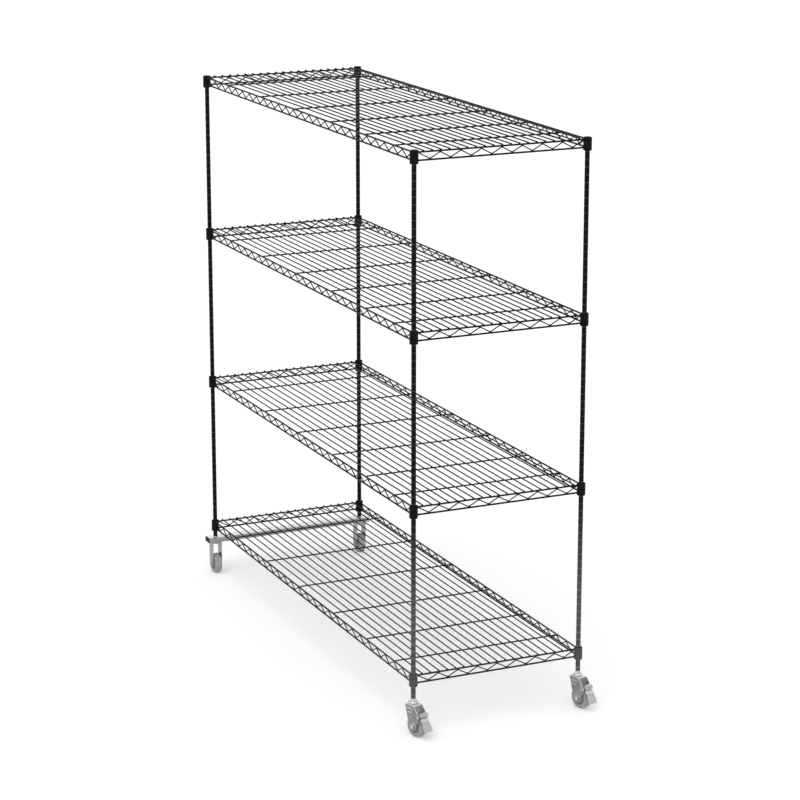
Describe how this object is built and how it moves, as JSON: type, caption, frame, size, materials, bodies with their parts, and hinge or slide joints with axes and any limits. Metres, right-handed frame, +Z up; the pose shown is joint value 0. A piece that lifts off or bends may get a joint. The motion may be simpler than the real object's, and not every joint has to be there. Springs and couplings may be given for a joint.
{
  "type": "mobile wire shelving unit",
  "caption": "Wheeled wire shelving unit: welded wire shelves on grooved black posts, braked swivel casters at one end, rigid casters under a cross bar at the other.",
  "frame": {"origin": "on the floor, midway between the four posts", "axes": "+X across the short side, left to right; +Y along the length, from the swivel casters to the rigid ones; +Z up"},
  "size_m": [0.6823, 1.9487, 1.937],
  "materials": {
    "black_epoxy": "semi-gloss black epoxy powder coat",
    "black_plastic": "fine moulded black plastic",
    "bar_zinc": "bright zinc plate",
    "fork_zinc": "zinc plated stamping",
    "pedal_zinc": "zinc plated stamping, rubbed on the pedal",
    "fastener_zinc": "bright zinc plate",
    "ball_steel": "polished",
    "core_plastic": "moulded grey plastic",
    "tread_rubber": "grey non-marking rubber",
    "shoe_rubber": "black rubber"
  },
  "bodies": {
    "frame": {"caster_stem_left": "fastener_zinc", "caster_stem_right": "fastener_zinc", "king_nut_left": "fastener_zinc", "king_nut_right": "fastener_zinc", "post_cap_front_left": "black_plastic", "post_cap_front_right": "black_plastic", "post_cap_rear_left": "black_plastic", "post_cap_rear_right": "black_plastic", "post_front_left": "black_epoxy", "post_front_right": "black_epoxy", "post_insert_front_left": "fastener_zinc", "post_insert_front_right": "fastener_zinc", "post_insert_rear_left": "fastener_zinc", "post_insert_rear_right": "fastener_zinc", "post_rear_left": "black_epoxy", "post_rear_right": "black_epoxy", "race_cup_left": "fastener_zinc", "race_cup_right": "fastener_zinc", "rear_axle_bolts": "fastener_zinc", "rear_axle_bush_left": "fastener_zinc", "rear_axle_bush_right": "fastener_zinc", "rear_axle_nuts": "fastener_zinc", "rear_bar": "bar_zinc", "rear_bar_plugs": "black_plastic", "rear_stem_bolts": "fastener_zinc", "rigid_fork_left": "fork_zinc", "rigid_fork_right": "fork_zinc", "shelf_bottom": "black_epoxy", "shelf_lower": "black_epoxy", "shelf_top": "black_epoxy", "shelf_upper": "black_epoxy", "sleeves_bottom": "black_plastic", "sleeves_lower": "black_plastic", "sleeves_top": "black_plastic", "sleeves_upper": "black_plastic"},
    "caster_left": {"swivel_fork_left": "fork_zinc", "swivel_balls_left": "ball_steel", "front_axle_bolt_left": "fastener_zinc", "front_axle_nut_left": "fastener_zinc", "front_axle_bush_left": "fastener_zinc", "brake_pin_left": "fastener_zinc"},
    "front_wheel_left": {"front_wheel_core_left": "core_plastic", "front_tread_left": "tread_rubber"},
    "brake_left": {"brake_pedal_left": "pedal_zinc", "brake_shoe_left": "shoe_rubber"},
    "rear_wheel_left": {"rear_wheel_core_left": "core_plastic", "rear_tread_left": "tread_rubber"},
    "caster_right": {"swivel_fork_right": "fork_zinc", "swivel_balls_right": "ball_steel", "front_axle_bolt_right": "fastener_zinc", "front_axle_nut_right": "fastener_zinc", "front_axle_bush_right": "fastener_zinc", "brake_pin_right": "fastener_zinc"},
    "front_wheel_right": {"front_wheel_core_right": "core_plastic", "front_tread_right": "tread_rubber"},
    "brake_right": {"brake_pedal_right": "pedal_zinc", "brake_shoe_right": "shoe_rubber"},
    "rear_wheel_right": {"rear_wheel_core_right": "core_plastic", "rear_tread_right": "tread_rubber"}
  },
  "joints": [
    {"name": "swivel_left", "type": "hinge", "parent": "frame", "child": "caster_left", "pos_m": [-0.305, -0.9145, 0.11], "axis": [0, 0, 1], "continuous": true},
    {"name": "front_spin_left", "type": "hinge", "parent": "caster_left", "child": "front_wheel_left", "pos_m": [-0.29982, -0.93382, 0.0375], "axis": [0.9659, 0.2588, 0], "continuous": true},
    {"name": "brake_press_left", "type": "hinge", "parent": "caster_left", "child": "brake_left", "pos_m": [-0.29362, -0.95697, 0.0744], "axis": [0.9659, 0.2588, 0], "range_deg": [0, 15]},
    {"name": "rear_spin_left", "type": "hinge", "parent": "frame", "child": "rear_wheel_left", "pos_m": [-0.305, 0.9145, 0.0375], "axis": [1, 0, 0], "continuous": true},
    {"name": "swivel_right", "type": "hinge", "parent": "frame", "child": "caster_right", "pos_m": [0.305, -0.9145, 0.11], "axis": [0, 0, 1], "continuous": true},
    {"name": "front_spin_right", "type": "hinge", "parent": "caster_right", "child": "front_wheel_right", "pos_m": [0.31018, -0.93382, 0.0375], "axis": [0.9659, 0.2588, 0], "continuous": true},
    {"name": "brake_press_right", "type": "hinge", "parent": "caster_right", "child": "brake_right", "pos_m": [0.31638, -0.95697, 0.0744], "axis": [0.9659, 0.2588, 0], "range_deg": [0, 15]},
    {"name": "rear_spin_right", "type": "hinge", "parent": "frame", "child": "rear_wheel_right", "pos_m": [0.305, 0.9145, 0.0375], "axis": [1, 0, 0], "continuous": true}
  ]
}
